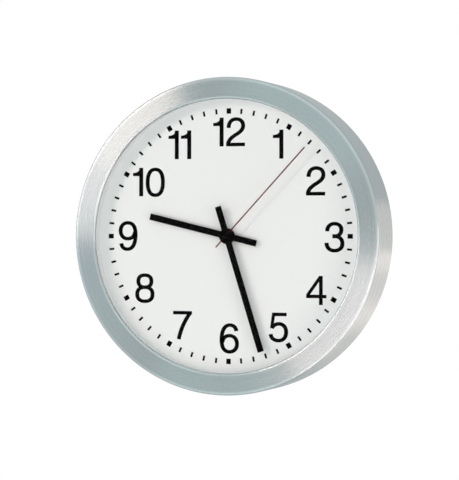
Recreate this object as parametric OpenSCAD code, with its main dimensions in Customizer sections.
// Radio-controlled wall clock: spun aluminium case, glass, white dial, three hands and a quartz movement.
// Every piece is drawn lying on its back: x to the right, y towards 12 o'clock, z from the wall
// to the viewer.
// hung() then turns it upright, so that the dial faces -Y and the wall is the plane y = 0.

/* [Case] */
// Outer diameter of the case
case_d = 299; // [294:1:310]
// Depth from the wall to the front edge of the bezel
case_depth = 55; // [54.5:0.5:58]
// Width of the bezel as seen from the front, with its rolled lip
bezel_w = 20.5; // [20.2:0.1:22]
// Thickness of the spun aluminium sheet
sheet_t = 1.5; // [1.2:0.1:1.6]
// Radius of the shoulder between the wall and the bezel
shoulder_r = 2.6; // [2.2:0.1:5]
// How far the bezel falls back from its inner edge to the case's wall
bezel_fall = 1.3; // [0.8:0.1:1.8]

/* [Dial and glass] */
// Depth of the dial behind the front of the bezel
dial_recess = 17; // [16.8:0.1:17.5]
// Thickness of the dial plate
dial_t = 1; // [0.8:0.1:1.2]
// Thickness of the glass
glass_t = 2; // [1.8:0.1:2.2]
// Depth of the glass face behind the front of the bezel
glass_recess = 3; // [2.9:0.1:3.1]

/* [Hands] */
// Reach of the hour hand from its centre
hour_reach = 79.4; // [70:0.1:85]
// Reach of the minute hand from its centre
minute_reach = 113.5; // [105:0.1:116]
// Reach of the second hand from its centre
second_reach = 113; // [105:0.1:118]
// Length of the tail of the hour and minute hands
hand_tail = 29.2; // [20:0.1:34]
// Width of the hour and minute hands at the tip
hand_w = 5.7; // [5:0.1:6.5]
// Diameter of the hub disc of the hour and minute hands
hand_hub_d = 14.6; // [13:0.1:16]
// Hour shown by the hands
shown_hour = 9; // [0:1:11]
// Minute shown by the hands
shown_minute = 27; // [0:1:59]
// Second shown by the hands
shown_second = 7; // [0:1:59]

/* [Movement] */
// Width of the movement case
movement_w = 62; // [62:0.5:64]
// Height of the movement case above the hand axis
movement_up = 49; // [49:0.5:52]
// Height of the movement case below the hand axis
movement_down = 37; // [37:0.5:39]
// Thickness of the movement case from its front to its rear cover
movement_t = 18.5; // [18.5:0.1:19]
// Thickness of the moulded walls
mould_t = 1.5; // [1.3:0.1:1.6]
// Module of the fine wheels between a rotor and the hands
fine_module = 0.28; // [0.27:0.01:0.28]
// Module of the wheels on the hand tubes
hand_module = 0.4; // [0.39:0.01:0.4]

/* [Back] */
// Number of radial ribs in the back cover
rib_count = 12; // [8:4:16]
// Radius of the round hole of the hanging slot
keyhole_r = 4.5; // [4:0.1:5]
// Width of the hanging slot
keyhole_slot_w = 4.6; // [3.6:0.1:4.6]

/* [Hidden] */
$fn = 96;

// A cut runs this far past the face that it opens
cut = 1;
// A rib or post runs this far into the wall that it stands on
bite = 0.5;
// Facets of the large turned pieces
ring_sides = 240;
// Points along each rounded corner of an outline
corner_steps = 6;

// Levels, measured from the wall
case_r = case_d / 2;
lip_r = case_r - bezel_w;
spacer_r = lip_r + 1;
dial_z = case_depth - dial_recess;
glass_z = case_depth - glass_recess;
glass_r = lip_r + 10.4;
dish_r = glass_r;
floor_t = 2.4;
floor_z = dial_z - dial_t - floor_t;

// Back cover, its brackets and screws
dish_wall = 2.2;
flange_z = 5.6;
flange_t = 2.4;
flange_r = case_r - sheet_t - 0.5;
bracket_t = 1.2;
bracket_count = 6;
bracket_first = 30;
bracket_screw_r = case_r - sheet_t - 4;
cover_shank_r = 1.25;
pass_r = 1.7;
rib_t = 1.6;
rib_drop = 8.5;
rib_ring_r = 98;
hanger_z = 3;
hanger_t = 1.5;
hanger_y = 116;
hanger_screw_x = 18;
hanger_shank_r = 1.4;
hanger_shank_l = 11;
keyhole_y = 108;
keyhole_rise = 10;

// Movement case: its front lies on the floor of the back cover
move_front = floor_z;
move_back = floor_z - movement_t;
move_inner = move_front - mould_t;
movement_corner_r = 4;
rear_t = 1.6;
bay_y = -27.6;
bay_half = 8;
wall_y = bay_y + bay_half + 0.7;
corner_posts = [[27, 30], [-27, 30], [27, -15.3], [-27, -15.3]];
bridge_posts = [[-20, -13], [20, -13], [0, 16]];
board_posts = [[23, 22], [23, 35], [-22.5, 28.4], [-22.5, 35]];
post_r = 2.3;
button_x = [-14, 0, 14];
button_y = 29;
button_r = 2;
rod_y = 42.3;
rod_z = move_inner - 7.6;
rod_r = 4;
board_z = move_back + 4.3;
board_t = 1.2;
bridge_z = move_back + 4.5;
bridge_t = 1.3;

// Centres of the wheels, from the hand axis. The wheels of one gear pair share a module.
hand_gap = 24 * hand_module;
hour_module = 2 * hand_gap / 50;
motion_at = [0, -hand_gap];
third_dir = 160;
minute_third_at = hand_gap * [cos(third_dir), sin(third_dir)];
second_dir = 100;
minute_second_at = minute_third_at + 28 * fine_module * [cos(second_dir), sin(second_dir)];
minute_rotor_at = minute_second_at - [24 * fine_module, 0];
seconds_dir = 30;
seconds_third_at = 35 * fine_module * [cos(seconds_dir), sin(seconds_dir)];
rotor_dir = -10;
seconds_rotor_at = seconds_third_at + 24 * fine_module * [cos(rotor_dir), sin(rotor_dir)];
minute_coil_at = [-17, 23];
seconds_coil_at = [16, 16.5];

// Levels of the wheels, as their rear faces
wheel_t = 1;
hour_wheel_z = move_inner - 2.5;
motion_wheel_z = move_inner - 4.6;
centre_wheel_z = move_inner - 6.7;
second_wheel_z = move_inner - 8.9;
fine_wheel_z = move_inner - 10.6;
stator_z = move_inner - 5.1;
magnet_r = 1.8;
magnet_t = 1.6;

// Tubes and arbors that run in one another, with 0.05 mm between them
running = 0.05;
bush_r = 3.95;
hour_tube_r = 2.55;
minute_tube_r = 1.6;
second_arbor_r = 0.55;
second_bore_r = 1;
stud_r = 0.8;
arbor_r = 0.6;
hour_hand_z = dial_z + 3.9;
minute_hand_z = dial_z + 6.4;
second_hand_z = dial_z + 9.5;
hand_t = 0.5;
hand_taper = 0.3;

// Clock tooth: radial flank up to the pitch circle, then a pointed end
tooth_fill = 0.84;
tooth_tip_fill = 0.3;
tooth_above = 0.85;
tooth_below = 1.15;

// Angles that the hands show, clockwise from 12
second_angle = 6 * (shown_second + 0.14);
minute_angle = 6 * (shown_minute + shown_second / 60);
hour_angle = 30 * shown_hour + minute_angle / 12;

// Turns a piece from its back to its place on the wall
module hung() {
    rotate([90, 0, 0]) children();
}

function unit(v) = v / norm(v);
function normal_to(v) = [-v[1], v[0]];
function turned(v, a) = [v[0] * cos(a) - v[1] * sin(a), v[0] * sin(a) + v[1] * cos(a)];
function reversed(list) = [for (i = [len(list) - 1 : -1 : 0]) list[i]];

// Arc of radius r that replaces the corner b between its neighbours a and c
function corner(a, b, c, r) =
    let (
        u = unit(a - b),
        v = unit(c - b),
        half = acos(u * v) / 2,
        centre = b + unit(u + v) * r / sin(half),
        first = b + u * r / tan(half) - centre,
        side = sign(u[1] * v[0] - u[0] * v[1]),
        sweep = side * (180 - 2 * half)
    )
    r <= 0 ? [b] : [for (i = [0 : corner_steps]) centre + turned(first, sweep * i / corner_steps)];

// Closed outline with one radius at all its corners
function rounded(points, r) =
    let (n = len(points))
    [for (i = [0 : n - 1]) each corner(points[(i + n - 1) % n], points[i], points[(i + 1) % n], r)];

// Open path whose inner corners have radii of their own
function rounded_path(points, radii) =
    let (last = len(points) - 1)
    [for (i = [0 : last])
        each i == 0 || i == last
            ? [points[i]]
            : corner(points[i - 1], points[i], points[i + 1], radii[i - 1])];

// Path moved by t to its left, with mitred corners
function beside(points, t) =
    let (last = len(points) - 1)
    [for (i = [0 : last])
        let (
            before = normal_to(unit(points[max(i, 1)] - points[max(i, 1) - 1])),
            after = normal_to(unit(points[min(i, last - 1) + 1] - points[min(i, last - 1)]))
        )
        points[i] + t * (before + after) / (1 + before * after)];

module bar(from, to, width) {
    along = to - from;
    translate(from) rotate(atan2(along[1], along[0])) translate([0, -width / 2])
        square([norm(along), width]);
}

module disc(r, z, t) {
    translate([0, 0, z]) cylinder(r = r, h = t);
}

module ring(outer_r, inner_r, z, t) {
    difference() {
        disc(outer_r, z, t);
        disc(inner_r, z - cut, t + 2 * cut);
    }
}

module around(count, first = 0) {
    for (i = [0 : count - 1]) rotate(first + i * 360 / count) children();
}

// Outline of the movement case, drawn in by a wall
module movement_outline(inset, r) {
    w = movement_w / 2 - inset;
    polygon(rounded([
        [-w, -movement_down + inset],
        [w, -movement_down + inset],
        [w, movement_up - inset],
        [-w, movement_up - inset]
    ], r));
}

// Path of the aluminium sheet from the wall, over the shoulder and bezel, to the turned-in lip
lip_roll_r = 2.3;
lip_to_glass = 0.3;
sheet_path = [
    [case_r, 0],
    [case_r, case_depth - bezel_fall],
    [lip_r, case_depth],
    [lip_r, glass_z + lip_to_glass]
];
sheet_radii = [shoulder_r, lip_roll_r];

module case_ring() {
    inner_radii = [for (r = sheet_radii) r - sheet_t];
    outer = rounded_path(sheet_path, sheet_radii);
    inner = rounded_path(beside(sheet_path, sheet_t), inner_radii);
    color("silver") hung()
        rotate_extrude($fn = ring_sides) polygon(concat(outer, reversed(inner)));
}

module lens_gasket() {
    edge_gap = 0.1;
    under_gap = 0.15;
    inside = lip_r + sheet_t + 0.4;
    outside = glass_r + 1.9;
    slope = bezel_fall / bezel_w;
    under_bezel = case_depth - sheet_t - under_gap;
    color("dimgray") hung() rotate_extrude($fn = ring_sides) polygon([
        [inside, glass_z],
        [glass_r + edge_gap, glass_z],
        [glass_r + edge_gap, glass_z - glass_t],
        [outside, glass_z - glass_t],
        [outside, under_bezel - slope * (outside - lip_r)],
        [inside, under_bezel - slope * (inside - lip_r)]
    ]);
}

module lens_glass() {
    bevel = 0.3;
    color("lightcyan", 0.3) hung() rotate_extrude($fn = ring_sides) polygon([
        [0, glass_z - glass_t],
        [glass_r - bevel, glass_z - glass_t],
        [glass_r, glass_z - glass_t + bevel],
        [glass_r, glass_z - bevel],
        [glass_r - bevel, glass_z],
        [0, glass_z]
    ]);
}

module dial_flange() {
    wall = 1.8;
    shelf_t = 1.8;
    chamfer = 1;
    web_count = 24;
    web_t = 1.4;
    from_r = spacer_r + wall / 2;
    shelf_z = glass_z - glass_t - shelf_t;
    foot_r = glass_r - 0.7;
    color("white") hung() {
        rotate_extrude($fn = ring_sides) polygon([
            [spacer_r, dial_z],
            [spacer_r + wall, dial_z],
            [spacer_r + wall, shelf_z - chamfer],
            [spacer_r + wall + chamfer, shelf_z],
            [glass_r, shelf_z],
            [glass_r, shelf_z + shelf_t],
            [spacer_r, shelf_z + shelf_t]
        ]);
        around(web_count) translate([from_r, -web_t / 2, dial_z])
            cube([foot_r - from_r, web_t, shelf_z - dial_z + shelf_t / 2]);
    }
}

module dial_plate() {
    rim_gap = 0.5;
    hole_gap = 0.25;
    color("whitesmoke") hung() difference() {
        disc(glass_r - rim_gap, dial_z - dial_t, dial_t);
        disc(bush_r + hole_gap, dial_z - dial_t - cut, dial_t + 2 * cut);
    }
}

// Section of the ribbed dish: floor under the dial, wall, and the flange that the screws hold
module dish_section() {
    chamfer = 1;
    polygon([
        [0, floor_z],
        [dish_r - dish_wall, floor_z],
        [dish_r - dish_wall, flange_z],
        [flange_r, flange_z],
        [flange_r, flange_z + flange_t],
        [dish_r, flange_z + flange_t],
        [dish_r, floor_z + floor_t - chamfer],
        [dish_r - chamfer, floor_z + floor_t],
        [0, floor_z + floor_t]
    ]);
}

module cover_ribs() {
    depth = rib_drop + bite;
    low = floor_z - rib_drop;
    around(rib_count, 180 / rib_count)
        translate([0, -rib_t / 2, low]) cube([dish_r - dish_wall / 2, rib_t, depth]);
    ring(rib_ring_r + rib_t, rib_ring_r, low, depth);
}

module movement_frame(gap, z, t) {
    translate([0, 0, z]) linear_extrude(t) movement_outline(-gap, movement_corner_r + gap);
}

module back_cover() {
    frame_gap = 0.8;
    frame_drop = 7;
    boss_r = 4.2;
    boss_z = hanger_z + hanger_t;
    brace_h = 14;
    bush_gap = 0.35;
    color("gainsboro") hung() difference() {
        union() {
            rotate_extrude($fn = ring_sides) dish_section();
            difference() {
                cover_ribs();
                movement_frame(frame_gap, floor_z - rib_drop - cut, rib_drop + cut);
            }
            difference() {
                movement_frame(frame_gap + rib_t, floor_z - frame_drop, frame_drop + bite);
                movement_frame(frame_gap, floor_z - frame_drop - cut, frame_drop + cut);
            }
            for (x = [-hanger_screw_x, hanger_screw_x])
                translate([x, hanger_y]) disc(boss_r, boss_z, floor_z - boss_z + bite);
            around(bracket_count, 60)
                translate([dish_r - dish_wall / 2, -rib_t / 2, flange_z + flange_t / 2])
                    cube([flange_r - dish_r + dish_wall / 2, rib_t, brace_h]);
        }
        disc(bush_r + bush_gap, floor_z - cut, floor_t + 2 * cut);
        for (x = [-hanger_screw_x, hanger_screw_x])
            translate([x, hanger_y]) disc(hanger_shank_r, 0, hanger_z + hanger_shank_l + cut);
        around(bracket_count, bracket_first) translate([bracket_screw_r, 0])
            disc(pass_r, flange_z - cut, flange_t + 2 * cut);
    }
}

// Angle brackets: a foot spot-welded to the case wall and a tapped shelf under the cover's flange
module ring_brackets() {
    shelf_z = flange_z + flange_t;
    wall_r = case_r - sheet_t;
    shelf_w = 7.3;
    foot_h = 12;
    spread = 6;
    color("darkgray") hung() around(bracket_count, bracket_first) difference() {
        rotate([0, 0, -spread / 2]) rotate_extrude(angle = spread, $fn = ring_sides) polygon([
            [wall_r - shelf_w, shelf_z],
            [wall_r, shelf_z],
            [wall_r, shelf_z + foot_h],
            [wall_r - bracket_t, shelf_z + foot_h],
            [wall_r - bracket_t, shelf_z + bracket_t],
            [wall_r - shelf_w, shelf_z + bracket_t]
        ]);
        translate([bracket_screw_r, 0]) disc(cover_shank_r, shelf_z - cut, bracket_t + 2 * cut);
    }
}

// Pan-head screw with a cross recess, its head towards the wall
module screw(head_r, head_t, shank_r, shank_l) {
    slot_w = head_r * 0.28;
    slot_l = head_r * 1.2;
    difference() {
        union() {
            translate([0, 0, -head_t]) cylinder(r1 = head_r * 0.8, r2 = head_r, h = head_t * 0.4);
            disc(head_r, -head_t * 0.6, head_t * 0.6);
            disc(shank_r, -0.1, shank_l + 0.1);
        }
        for (a = [0, 90]) rotate(a)
            translate([-slot_l / 2, -slot_w / 2, -head_t - cut])
                cube([slot_l, slot_w, head_t / 2 + cut]);
    }
}

module cover_screws() {
    color("slategray") hung() around(bracket_count, bracket_first)
        translate([bracket_screw_r, 0, flange_z]) screw(2.9, 2, cover_shank_r, 7);
}

module hanger_plate() {
    plate_w = 50;
    plate_h = 30;
    plate_corner_r = 4;
    color("lightsteelblue") hung() translate([0, 0, hanger_z]) difference() {
        translate([0, hanger_y]) linear_extrude(hanger_t) polygon(rounded([
            [-plate_w / 2, -plate_h / 2],
            [plate_w / 2, -plate_h / 2],
            [plate_w / 2, plate_h / 2],
            [-plate_w / 2, plate_h / 2]
        ], plate_corner_r));
        translate([0, keyhole_y]) disc(keyhole_r, -cut, hanger_t + 2 * cut);
        translate([-keyhole_slot_w / 2, keyhole_y, -cut])
            cube([keyhole_slot_w, keyhole_rise, hanger_t + 2 * cut]);
        translate([0, keyhole_y + keyhole_rise]) disc(keyhole_slot_w / 2, -cut, hanger_t + 2 * cut);
        for (x = [-hanger_screw_x, hanger_screw_x])
            translate([x, hanger_y]) disc(pass_r, -cut, hanger_t + 2 * cut);
    }
}

module hanger_screws() {
    color("slategray") hung() for (x = [-hanger_screw_x, hanger_screw_x])
        translate([x, hanger_y, hanger_z]) screw(3, 2, hanger_shank_r, hanger_shank_l);
}

// Flat hand: a bar that widens a little towards its square tip, its tail and its hub disc
module hand_blade(reach, tail, tip_w, tail_w, hub_r, bore_r) {
    linear_extrude(hand_t) difference() {
        union() {
            polygon([
                [-tail_w / 2, -tail],
                [tail_w / 2, -tail],
                [tip_w / 2, reach],
                [-tip_w / 2, reach]
            ]);
            circle(hub_r);
        }
        circle(bore_r);
    }
}

module broad_hand(reach, bore_r, z, angle) {
    collar_t = 0.7;
    collar_w = 1;
    color("black") hung() translate([0, 0, z]) rotate(-angle) {
        hand_blade(reach, hand_tail, hand_w, hand_w - hand_taper, hand_hub_d / 2, bore_r);
        ring(bore_r + collar_w, bore_r, -collar_t, collar_t);
    }
}

module hour_hand() {
    broad_hand(hour_reach, hour_tube_r, hour_hand_z, hour_angle);
}

module minute_hand() {
    broad_hand(minute_reach, minute_tube_r, minute_hand_z, minute_angle);
}

module second_hand() {
    tail = 14.3;
    blade_w = 1.1;
    hub_r = 2.6;
    color("firebrick") hung() translate([0, 0, second_hand_z]) rotate(-second_angle)
        hand_blade(second_reach, tail, blade_w, blade_w, hub_r, second_bore_r);
}

// Turned and blackened bush that is riveted into the second hand and pushed on its arbor
module second_collet() {
    bush_l = 1.9;
    rivet_r = 1.7;
    rivet_t = 0.35;
    shoulder_w = 0.5;
    color("black") hung() translate([0, 0, second_hand_z]) difference() {
        union() {
            disc(second_bore_r, -bush_l, bush_l + hand_t);
            ring(rivet_r, second_bore_r - 0.1, hand_t, rivet_t);
            ring(second_bore_r + shoulder_w, second_bore_r - 0.1, -shoulder_w, shoulder_w);
        }
        disc(second_arbor_r, -bush_l - cut, bush_l + hand_t + 0.1 + cut);
    }
}

// Toothed disc. A tooth's middle points along the phase angle.
function gear_outline(teeth, tooth_module, phase) =
    let (
        pitch_r = teeth * tooth_module / 2,
        root_r = pitch_r - tooth_below * tooth_module,
        tip_r = pitch_r + tooth_above * tooth_module,
        half = 90 / teeth * tooth_fill,
        tip_half = half * tooth_tip_fill
    )
    [for (i = [0 : teeth - 1])
        for (p = [[root_r, -half], [pitch_r, -half], [tip_r, -tip_half], [tip_r, tip_half],
            [pitch_r, half], [root_r, half]])
            turned([p[0], 0], phase + 360 * i / teeth + p[1])];

module gear(teeth, tooth_module, phase, z, t) {
    translate([0, 0, z]) linear_extrude(t) polygon(gear_outline(teeth, tooth_module, phase));
}

// Phase of a wheel whose teeth enter the gaps of the wheel that lies in direction dir behind it
function in_mesh(dir, teeth_from, phase_from, teeth) =
    dir + 180 - 360 / teeth * (0.5 - (dir - phase_from) * teeth_from / 360);

// Windows between the spokes of a wheel
module spoke_windows(hub_r, rim_r, z, t) {
    middle = (hub_r + rim_r) / 2;
    width = (rim_r - hub_r) * 0.72;
    for (a = [45 : 90 : 315]) rotate(a) translate([middle, 0]) disc(width / 2, z - cut, t + 2 * cut);
}

// Wheel and pinion on a steel arbor that turns between the front case and the bridge
module arbor(at) {
    translate(at) disc(arbor_r, bridge_z + 0.3, move_inner + 0.7 - bridge_z - 0.3);
}

module hour_wheel() {
    tube_top = hour_hand_z + hand_t + 0.3;
    phase = in_mesh(90, 10, 0, 40);
    color("ivory") hung() difference() {
        union() {
            gear(40, hour_module, phase, hour_wheel_z, wheel_t);
            disc(hour_tube_r, hour_wheel_z, tube_top - hour_wheel_z);
        }
        disc(minute_tube_r + running, hour_wheel_z - cut, tube_top - hour_wheel_z + 2 * cut);
        spoke_windows(3.2, 6.6, hour_wheel_z, wheel_t);
    }
}

// Intermediate wheel of the 12 to 1 motion work, on a stud of the front case
module motion_wheel() {
    phase = in_mesh(-90, 12, 0, 36);
    color("ivory") hung() translate(motion_at) difference() {
        union() {
            gear(36, hand_module, phase, motion_wheel_z, wheel_t);
            gear(10, hour_module, 0, motion_wheel_z + wheel_t - 0.1, 2.3);
        }
        disc(stud_r + running, motion_wheel_z - cut, 6);
        spoke_windows(2.8, 6, motion_wheel_z, 0.8);
    }
}

module minute_wheel() {
    tube_top = minute_hand_z + hand_t + 0.3;
    tube_low = centre_wheel_z - 0.2;
    color("ivory") hung() difference() {
        union() {
            gear(36, hand_module, 0, centre_wheel_z, wheel_t);
            gear(12, hand_module, 0, motion_wheel_z - 0.3, 1.6);
            disc(minute_tube_r, tube_low, tube_top - tube_low);
        }
        disc(second_arbor_r + running, tube_low - cut, tube_top - tube_low + 2 * cut);
        spoke_windows(2.6, 6.2, centre_wheel_z, wheel_t);
    }
}

module second_wheel() {
    arbor_low = bridge_z + 0.2;
    arbor_top = second_hand_z + hand_t + 0.1;
    color("ivory") hung() {
        difference() {
            union() {
                gear(60, fine_module, 0, second_wheel_z, wheel_t);
                disc(1.6, second_wheel_z - 0.8, wheel_t + 1.4);
            }
            spoke_windows(2.2, 7.4, second_wheel_z, wheel_t);
        }
        disc(second_arbor_r, arbor_low, arbor_top - arbor_low);
    }
}

minute_third_phase = in_mesh(third_dir, 36, 0, 12);
minute_second_phase = in_mesh(second_dir, 48, 0, 8);
minute_rotor_phase = in_mesh(180, 40, 0, 8);
seconds_third_phase = in_mesh(seconds_dir, 60, 0, 10);
seconds_rotor_phase = in_mesh(rotor_dir, 40, 0, 8);

module minute_third_wheel() {
    color("ivory") hung() {
        translate(minute_third_at) {
            gear(48, fine_module, 0, fine_wheel_z, wheel_t);
            gear(12, hand_module, minute_third_phase, centre_wheel_z - 0.2, 1.4);
            disc(1.4, fine_wheel_z, wheel_t + 0.4);
        }
        arbor(minute_third_at);
    }
}

module minute_second_wheel() {
    color("ivory") hung() {
        translate(minute_second_at) {
            gear(40, fine_module, 0, second_wheel_z, wheel_t);
            gear(8, fine_module, minute_second_phase, fine_wheel_z - 0.3, 1.6);
            disc(0.9, fine_wheel_z + wheel_t + 0.2, second_wheel_z - fine_wheel_z - wheel_t);
        }
        arbor(minute_second_at);
    }
}

module seconds_third_wheel() {
    color("ivory") hung() {
        translate(seconds_third_at) {
            gear(40, fine_module, 0, fine_wheel_z, wheel_t);
            gear(10, fine_module, seconds_third_phase, second_wheel_z - 0.3, 1.6);
            disc(1, fine_wheel_z, second_wheel_z - fine_wheel_z - 0.2);
        }
        arbor(seconds_third_at);
    }
}

// Rotor: round magnet at the level of its stator and a pinion of 8 leaves
module rotor(at, phase, pinion_z) {
    translate(at) {
        disc(magnet_r, stator_z + 0.5 - magnet_t / 2, magnet_t);
        gear(8, fine_module, phase, pinion_z - 0.3, 1.6);
    }
    arbor(at);
}

module minute_rotor() {
    color("darkslategray") hung() rotor(minute_rotor_at, minute_rotor_phase, second_wheel_z);
}

module seconds_rotor() {
    color("darkslategray") hung() rotor(seconds_rotor_at, seconds_rotor_phase, fine_wheel_z);
}

// Iron stator: a ring round the rotor and two arms that reach the ends of the coil's core
core_half = 9.2;
module stator(at, coil_at) {
    ring_r = 4.4;
    arm_w = 3;
    translate([0, 0, stator_z]) linear_extrude(1) difference() {
        union() {
            translate(at) circle(ring_r);
            for (side = [-1, 1]) {
                bar(at + [side * (ring_r - arm_w / 2), 0], coil_at + [side * core_half, 0], arm_w);
                translate(coil_at + [side * core_half, 0]) circle(arm_w / 2);
            }
        }
        translate(at) circle(magnet_r + 0.35);
    }
}

module minute_stator() {
    color("lightslategray") hung() stator(minute_rotor_at, minute_coil_at);
}

module seconds_stator() {
    color("lightslategray") hung() stator(seconds_rotor_at, seconds_coil_at);
}

// Coil: core strip, bobbin flanges and the wound copper body, along x
module coil(at) {
    wound_l = 9;
    wound_r = 2.6;
    flange_w = 1;
    flange_r = 3.1;
    middle_z = stator_z + 1.5;
    translate([at[0], at[1], middle_z]) {
        translate([-core_half - 1.4, -1.4, -0.5]) cube([2 * core_half + 2.8, 2.8, 1]);
        rotate([0, 90, 0]) {
            cylinder(r = wound_r, h = wound_l, center = true);
            for (side = [-1, 1]) translate([0, 0, side * (wound_l + flange_w) / 2])
                cylinder(r = flange_r, h = flange_w, center = true);
        }
    }
}

module minute_coil() {
    color("peru") hung() coil(minute_coil_at);
}

module seconds_coil() {
    color("peru") hung() coil(seconds_coil_at);
}

// Moulded front half of the movement: walls, battery bay, posts and the pivot holes of the wheels
module movement_front_case() {
    inner_t = move_inner - move_back - rear_t;
    low = move_back + rear_t;
    cradle_x = [-21, 21];
    cradle_half = rod_r + 0.1;
    color("dimgray") hung() difference() {
        union() {
            difference() {
                translate([0, 0, low]) linear_extrude(move_front - low)
                    movement_outline(0, movement_corner_r);
                translate([0, 0, low - cut]) linear_extrude(inner_t + cut)
                    movement_outline(mould_t, movement_corner_r - mould_t);
            }
            translate([-movement_w / 2 + mould_t / 2, wall_y - mould_t / 2, low])
                cube([movement_w - mould_t, mould_t, inner_t + 0.5]);
            for (p = corner_posts) translate(p) disc(post_r, low, inner_t + 0.5);
            for (p = bridge_posts) translate(p)
                disc(post_r, bridge_z + bridge_t, move_inner - bridge_z - bridge_t + 0.5);
            translate(motion_at) disc(stud_r, motion_wheel_z - 0.4, move_inner - motion_wheel_z + 0.5);
            for (x = cradle_x) translate([x - 1, rod_y - cradle_half, rod_z + 0.5])
                cube([2, 2 * cradle_half, move_inner - rod_z]);
            for (p = board_posts) translate(p)
                disc(1.6, board_z + board_t, move_inner - board_z - board_t + 0.5);
        }
        disc(bush_r + 0.05, move_inner - cut, mould_t + 2 * cut);
        for (p = [minute_third_at, minute_second_at, minute_rotor_at, seconds_third_at, seconds_rotor_at])
            translate(p) disc(arbor_r + running, move_inner - cut, 0.9 + cut);
        for (p = corner_posts) translate(p) disc(1, low - cut, 9 + cut);
        for (p = bridge_posts) translate(p) disc(0.8, bridge_z, 6);
        for (x = cradle_x) translate([x, rod_y, rod_z]) rotate([0, 90, 0])
            cylinder(r = rod_r + 0.02, h = 4, center = true);
    }
}

module movement_rear_cover() {
    color("dimgray") hung() difference() {
        union() {
            translate([0, 0, move_back]) linear_extrude(rear_t) movement_outline(0, movement_corner_r);
            for (x = button_x) translate([x, button_y])
                ring(button_r + 1.3, button_r + 0.5, move_back - 0.6, 1);
        }
        translate([0, bay_y, move_back - cut]) linear_extrude(rear_t + 2 * cut) polygon(rounded([
            [-28.6, -bay_half + 0.6],
            [28.6, -bay_half + 0.6],
            [28.6, bay_half - 0.6],
            [-28.6, bay_half - 0.6]
        ], 1.5));
        for (x = button_x) translate([x, button_y])
            disc(button_r + running, move_back - 2 * cut, rear_t + 4 * cut);
        for (p = corner_posts) translate(p) {
            disc(1.3, move_back - cut, rear_t + 2 * cut);
            disc(2.4, move_back - cut, 0.8 + cut);
        }
    }
}

module movement_screws() {
    color("slategray") hung() for (p = corner_posts)
        translate([p[0], p[1], move_back + 0.8]) screw(2.2, 1.2, 1, 8);
}

// Threaded brass bush: its flange lies inside the movement, its neck passes cover and dial
module centre_bush() {
    neck_top = dial_z + 3.2;
    head_r = 6;
    head_t = 1.2;
    lead = 0.5;
    color("goldenrod") hung() difference() {
        union() {
            disc(head_r, move_inner - head_t, head_t);
            disc(bush_r, move_inner - 0.1, neck_top - move_inner - lead + 0.1);
            translate([0, 0, neck_top - lead]) cylinder(r1 = bush_r, r2 = bush_r - lead, h = lead);
        }
        disc(hour_tube_r + running, move_inner - 2 * cut, neck_top - move_inner + 3 * cut);
    }
}

washer_t = 0.5;
module bush_washer() {
    washer_r = 6.4;
    color("silver") hung() ring(washer_r, bush_r + 0.1, dial_z, washer_t);
}

module bush_nut() {
    nut_r = 5.8;
    nut_t = 2;
    color("goldenrod") hung() difference() {
        translate([0, 0, dial_z + washer_t]) cylinder(r = nut_r, h = nut_t, $fn = 6);
        disc(bush_r, dial_z, washer_t + nut_t + cut);
    }
}

module train_bridge() {
    color("gray") hung() difference() {
        translate([0, 0, bridge_z]) linear_extrude(bridge_t) polygon(rounded([
            [-24, -16.3],
            [24, -16.3],
            [24, 11],
            [7, 19],
            [-7, 19],
            [-24, 16]
        ], 2));
        for (p = [minute_third_at, minute_second_at, minute_rotor_at, seconds_third_at, seconds_rotor_at])
            translate(p) disc(arbor_r + running, bridge_z - cut, bridge_t + 2 * cut);
        disc(second_arbor_r + running, bridge_z - cut, bridge_t + 2 * cut);
        for (p = bridge_posts) translate(p) disc(1, bridge_z - cut, bridge_t + 2 * cut);
        translate([8, -9]) disc(3.2, bridge_z - cut, bridge_t + 2 * cut);
        translate([-10, -8]) disc(3.2, bridge_z - cut, bridge_t + 2 * cut);
    }
}

module bridge_screws() {
    color("slategray") hung() for (p = bridge_posts)
        translate([p[0], p[1], bridge_z]) screw(1.8, 1, 0.8, 5);
}

module circuit_board() {
    color("seagreen") hung() difference() {
        translate([0, 0, board_z]) linear_extrude(board_t) polygon(rounded([
            [-24.2, 20.2],
            [24.2, 20.2],
            [24.2, 37],
            [-24.2, 37]
        ], 1));
        for (x = [-9, 9]) translate([x, 22.5]) disc(0.6, board_z - cut, board_t + 2 * cut);
    }
}

module chip_cover() {
    drop_r = 5;
    sunk = 3.4;
    color("black") hung() translate([7, 24.6, board_z + board_t]) intersection() {
        translate([0, 0, -sunk]) sphere(r = drop_r);
        disc(drop_r - 1, 0, drop_r - sunk + cut);
    }
}

module quartz_crystals() {
    can_r = 1.5;
    can_l = 6;
    crimp_l = 0.5;
    color("silver") hung() for (x = [-18, -12])
        translate([x, 31.5, board_z + board_t + can_r]) rotate([90, 0, 0]) {
            cylinder(r = can_r, h = can_l, center = true);
            translate([0, 0, can_l / 2]) cylinder(r = can_r * 0.75, h = crimp_l);
        }
}

// Metal snap domes on the board under the buttons
module switch_domes() {
    dome_t = 1;
    color("silver") hung() for (x = button_x) translate([x, button_y, board_z - dome_t])
        cylinder(r1 = 1.6, r2 = 2.6, h = dome_t);
}

module ferrite_rod() {
    rod_l = 50;
    color("#303030") hung() translate([0, rod_y, rod_z]) rotate([0, 90, 0])
        cylinder(r = rod_r, h = rod_l, center = true);
}

module antenna_coil() {
    wound_l = 24;
    wire_t = 0.7;
    collar_w = 1;
    collar_t = 1;
    color("peru") hung() translate([0, rod_y, rod_z]) rotate([0, 90, 0]) difference() {
        union() {
            cylinder(r = rod_r + wire_t, h = wound_l, center = true);
            for (side = [-1, 1]) translate([0, 0, side * (wound_l + collar_w) / 2])
                cylinder(r = rod_r + collar_t, h = collar_w, center = true);
        }
        cylinder(r = rod_r, h = wound_l + 2 * collar_w + 2 * cut, center = true);
    }
}

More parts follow.
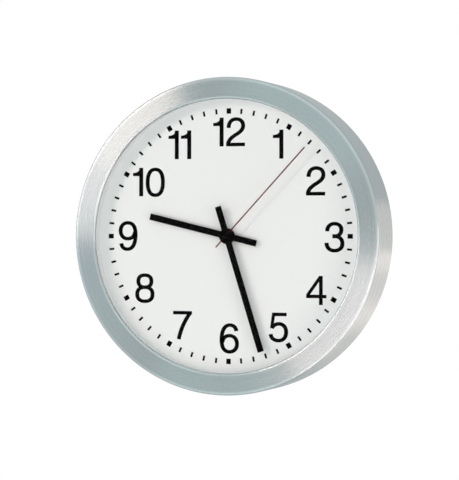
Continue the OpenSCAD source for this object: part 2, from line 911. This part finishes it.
// Push button: cap that stands out of the rear cover, and the flange that keeps it in
button_out = 1.3;
module push_button(x) {
    top = move_back - button_out;
    translate([x, button_y]) {
        translate([0, 0, top]) cylinder(r1 = button_r - 0.3, r2 = button_r, h = 0.3);
        disc(button_r, top + 0.3, button_out + rear_t - 0.2);
        disc(button_r + 0.7, move_back + rear_t + 0.05, 0.45);
        disc(0.8, move_back + rear_t + 0.4, 0.45);
    }
}

module set_button() {
    color("darkgray") hung() push_button(button_x[0]);
}

module receive_button() {
    color("darkgray") hung() push_button(button_x[1]);
}

module reset_button() {
    color("darkgray") hung() push_button(button_x[2]);
}

// AA cell lying across the bay, its cap towards +x
cell_r = 7.1;
cell_l = 49.4;
cell_x = -22.3;
cap_t = 1;
bay_z = move_inner - 7.6;
module battery_cell() {
    rim = 0.5;
    cap_r = 2.75;
    dent = 0.3;
    dent_r = 4.6;
    color("steelblue") hung() translate([cell_x, bay_y, bay_z]) rotate([0, 90, 0]) {
        rotate_extrude() polygon([
            [0, dent],
            [dent_r, dent],
            [dent_r + dent, 0],
            [cell_r - rim, 0],
            [cell_r, rim],
            [cell_r, cell_l - rim],
            [cell_r - rim, cell_l],
            [cap_r, cell_l],
            [cap_r, cell_l + cap_t],
            [0, cell_l + cap_t]
        ]);
    }
}

// Contact strips at the two ends of the bay, tucked between its wall and the cell
strip_x = movement_w / 2 - mould_t;
strip_t = 0.4;
module contact_strip(x) {
    strip_w = 10;
    strip_h = 13.6;
    strip_drop = 6.6;
    translate([x, bay_y - strip_w / 2, bay_z - strip_drop]) cube([strip_t, strip_w, strip_h]);
}

module positive_contact() {
    dimple = strip_x - strip_t - (cell_x + cell_l + cap_t);
    color("silver") hung() {
        contact_strip(strip_x - strip_t);
        translate([strip_x - strip_t - dimple, bay_y, bay_z]) rotate([0, 90, 0])
            cylinder(r1 = 1.4, r2 = 2.2, h = dimple);
    }
}

module negative_contact() {
    color("silver") hung() contact_strip(-strip_x);
}

// Conical contact spring: one wire from the strip to the cell, its radius falling steadily
spring_turns = 5;
spring_rings = 8;
spring_sides = 6;
wire_r = 0.35;
spring_from = -strip_x + strip_t + wire_r;
spring_to = cell_x - wire_r;
spring_count = spring_turns * spring_rings;
function spring_at(i) =
    let (
        part = i / spring_count,
        r = 4.6 - 1.9 * part,
        a = 360 * i / spring_rings
    )
    [spring_from + (spring_to - spring_from) * part, r * cos(a), r * sin(a)];
function spring_side(i, k) =
    let (
        a = 360 * i / spring_rings,
        b = 360 * k / spring_sides,
        out = [0, cos(a), sin(a)]
    )
    spring_at(i) + wire_r * (out * cos(b) + [1, 0, 0] * sin(b));
spring_gap = min([for (i = [0 : spring_count - spring_rings])
    for (j = [i + spring_rings - 2 : min(i + spring_rings + 2, spring_count)])
        norm(spring_at(i) - spring_at(j)) - 2 * wire_r]);

module battery_spring() {
    last = spring_count;
    points = [for (i = [0 : last]) for (k = [0 : spring_sides - 1]) spring_side(i, k)];
    function at(i, k) = i * spring_sides + k % spring_sides;
    sides = [for (i = [0 : last - 1]) for (k = [0 : spring_sides - 1])
        each [[at(i, k), at(i, k + 1), at(i + 1, k)], [at(i, k + 1), at(i + 1, k + 1), at(i + 1, k)]]];
    first_end = [for (k = [1 : spring_sides - 2]) [at(0, 0), at(0, k + 1), at(0, k)]];
    last_end = [for (k = [1 : spring_sides - 2]) [at(last, 0), at(last, k), at(last, k + 1)]];
    echo(least_gap_of_spring = spring_gap);
    color("silver") hung() translate([0, bay_y, bay_z])
        polyhedron(points, concat(sides, first_end, last_end));
}

case_ring();
lens_gasket();
lens_glass();
dial_flange();
dial_plate();
back_cover();
ring_brackets();
cover_screws();
hanger_plate();
hanger_screws();
hour_hand();
minute_hand();
second_hand();
second_collet();
movement_front_case();
movement_rear_cover();
movement_screws();
centre_bush();
bush_washer();
bush_nut();
hour_wheel();
minute_wheel();
second_wheel();
motion_wheel();
minute_third_wheel();
minute_second_wheel();
minute_rotor();
seconds_third_wheel();
seconds_rotor();
minute_stator();
seconds_stator();
minute_coil();
seconds_coil();
train_bridge();
bridge_screws();
circuit_board();
chip_cover();
quartz_crystals();
switch_domes();
ferrite_rod();
antenna_coil();
set_button();
receive_button();
reset_button();
battery_cell();
positive_contact();
negative_contact();
battery_spring();
